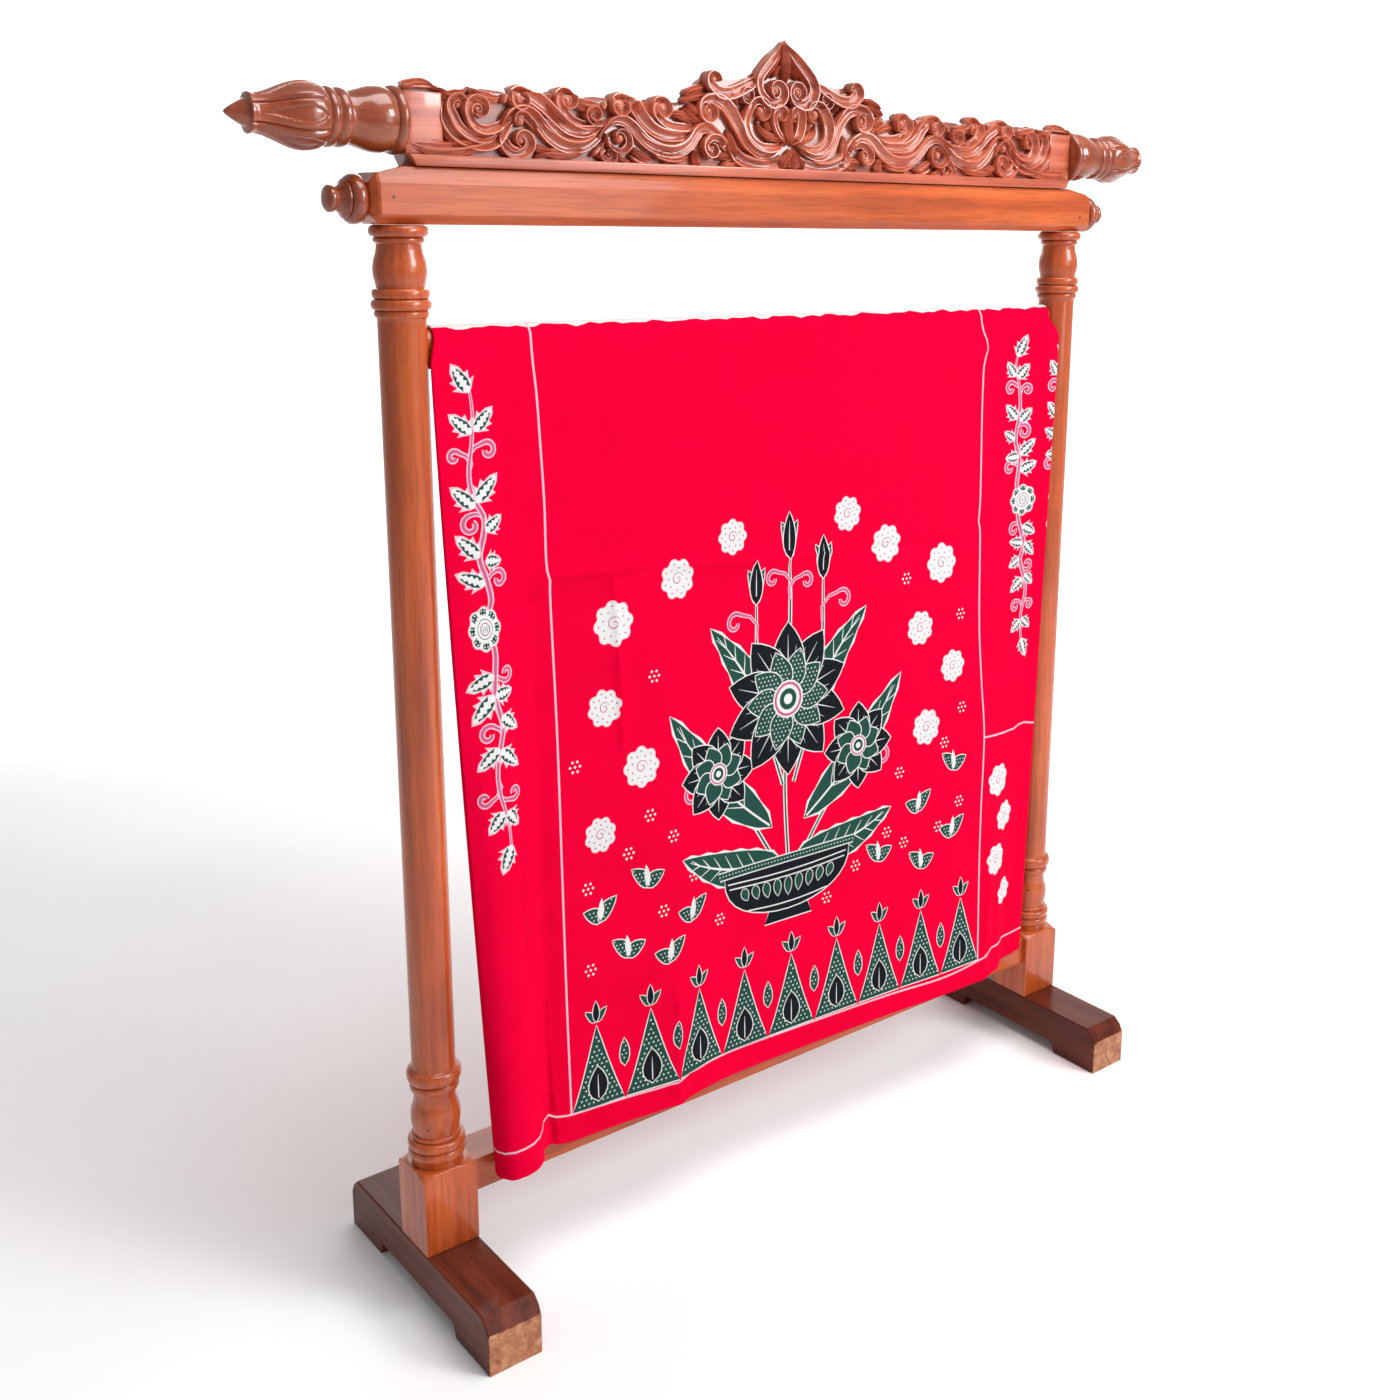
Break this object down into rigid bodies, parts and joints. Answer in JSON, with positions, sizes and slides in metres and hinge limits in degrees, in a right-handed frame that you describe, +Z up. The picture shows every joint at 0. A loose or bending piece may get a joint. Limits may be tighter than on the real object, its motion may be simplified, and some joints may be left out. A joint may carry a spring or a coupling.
{
  "type": "batik cloth on a wooden display stand",
  "caption": "Red wax-dyed cotton cloth hung over the rail of a free-standing turned hardwood stand with a carved crest.",
  "frame": {"origin": "on the floor under the stand, midway between its posts", "axes": "+X along the rails, -Y out of the cloth's front, +Z up"},
  "size_m": [1.4946, 0.386, 1.6],
  "materials": {
    "dyed_cotton": "matt red cotton",
    "varnished_wood": "glossy reddish brown varnish"
  },
  "bodies": {
    "root": {"batik_cloth": "dyed_cotton", "foot_left": "varnished_wood", "foot_right": "varnished_wood", "post_left": "varnished_wood", "post_right": "varnished_wood", "lower_rail": "varnished_wood", "cloth_rail": "varnished_wood", "beam": "varnished_wood", "beam_knob_left": "varnished_wood", "beam_knob_right": "varnished_wood", "crest_board": "varnished_wood", "finial_left": "varnished_wood", "finial_right": "varnished_wood"}
  },
  "joints": []
}
